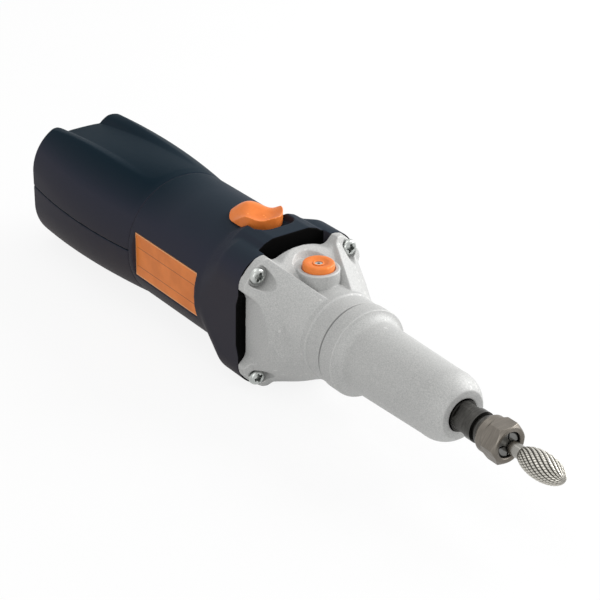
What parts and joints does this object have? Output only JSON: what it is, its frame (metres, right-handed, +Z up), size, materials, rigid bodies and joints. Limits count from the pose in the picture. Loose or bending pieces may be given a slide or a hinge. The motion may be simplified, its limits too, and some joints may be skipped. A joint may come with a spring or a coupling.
{
  "type": "straight die grinder",
  "caption": "Long-nose electric die grinder: dark motor housing, split rear cover, alloy nose with clamping band, slide switch, spindle lock, and a collet nut that grips an oval burr.",
  "frame": {"origin": "on the spindle axis, in the middle of the clamping band at the root of the nose barrel", "axes": "+X along the spindle towards the burr's tip, +Z up through the switch and the lock button"},
  "size_m": [0.3843, 0.076, 0.0756],
  "materials": {
    "body_plastic": "fine-grained satin moulding",
    "orange_plastic": "satin moulding",
    "plate_paint": "smooth satin paint",
    "cast_alloy": "blasted casting",
    "inner_alloy": "as cast",
    "spindle_steel": "dark ground steel",
    "nut_steel": "machined steel",
    "screw_steel": "bright zinc plate",
    "burr_steel": "bright ground carbide and steel",
    "bearing_steel": "polished",
    "spring_steel": "spring steel",
    "laminations": "stacked sheet",
    "copper": "varnished wire and copper bars",
    "holder_brass": "pressed sheet",
    "carbon": "carbon block",
    "inner_plastic": "plain moulding",
    "capacitor_case": "smooth case",
    "rubber": "soft rubber",
    "felt": "pressed felt"
  },
  "bodies": {
    "housing": {"motor_housing": "body_plastic", "rear_cover_upper": "body_plastic", "rear_cover_lower": "body_plastic", "rating_plate": "plate_paint", "front_casting": "cast_alloy", "nose_barrel": "cast_alloy", "bearing_plate": "inner_alloy", "bearing_spacer": "inner_alloy", "casting_screws": "screw_steel", "rear_cover_screws": "screw_steel", "cord_clamp_screws": "screw_steel", "spindle_bearing_front": "bearing_steel", "spindle_bearing_rear": "bearing_steel", "rear_motor_bearing": "bearing_steel", "front_motor_bearing": "bearing_steel", "lock_spring": "spring_steel", "brush_springs": "spring_steel", "stator_core": "laminations", "field_coils": "copper", "brush_holders": "holder_brass", "carbon_brushes": "carbon", "brush_bracket": "inner_plastic", "cord_clamp": "inner_plastic", "switch_unit": "inner_plastic", "capacitor": "capacitor_case", "rear_bearing_sleeve": "rubber", "cord_bush": "rubber", "felt_seal": "felt"},
    "rotor": {"spindle": "spindle_steel", "coupling": "spindle_steel", "armature_shaft": "spindle_steel", "armature_core": "laminations", "armature_windings": "copper", "commutator": "copper", "fan": "inner_plastic"},
    "collet_body": {"collet": "spindle_steel"},
    "nut": {"collet_nut": "nut_steel"},
    "burr": {"burr_shank": "burr_steel", "burr_head": "burr_steel"},
    "switch": {"switch_slider": "orange_plastic", "switch_rod": "inner_plastic"},
    "lock": {"lock_button": "orange_plastic", "lock_button_screw": "screw_steel", "lock_pin": "spring_steel"}
  },
  "joints": [
    {"name": "spindle_spin", "type": "hinge", "parent": "housing", "child": "rotor", "pos_m": [0, 0, 0], "axis": [1, 0, 0], "continuous": true},
    {"name": "switch_slide", "type": "slide", "parent": "housing", "child": "switch", "axis": [1, 0, 0], "range_m": [0, 0.0052]},
    {"name": "lock_press", "type": "slide", "parent": "housing", "child": "lock", "axis": [0, 0, -1], "range_m": [0, 0.004], "stiffness_N_per_m": 400, "springref_m": -0.004, "deforming": ["lock_spring"]},
    {"name": "collet_slide", "type": "slide", "parent": "rotor", "child": "collet_body", "axis": [1, 0, 0], "range_m": [0, 0.00137]},
    {"name": "nut_turn", "type": "hinge", "parent": "collet_body", "child": "nut", "pos_m": [0, 0, 0], "axis": [1, 0, 0], "range_deg": [0, 330]},
    {"name": "burr_pull", "type": "slide", "parent": "collet_body", "child": "burr", "axis": [1, 0, 0], "range_m": [0, 0.025]}
  ],
  "couplings": [
    {"joint": "nut_turn", "follows": "collet_slide", "rad_per_m": 4188.7}
  ]
}
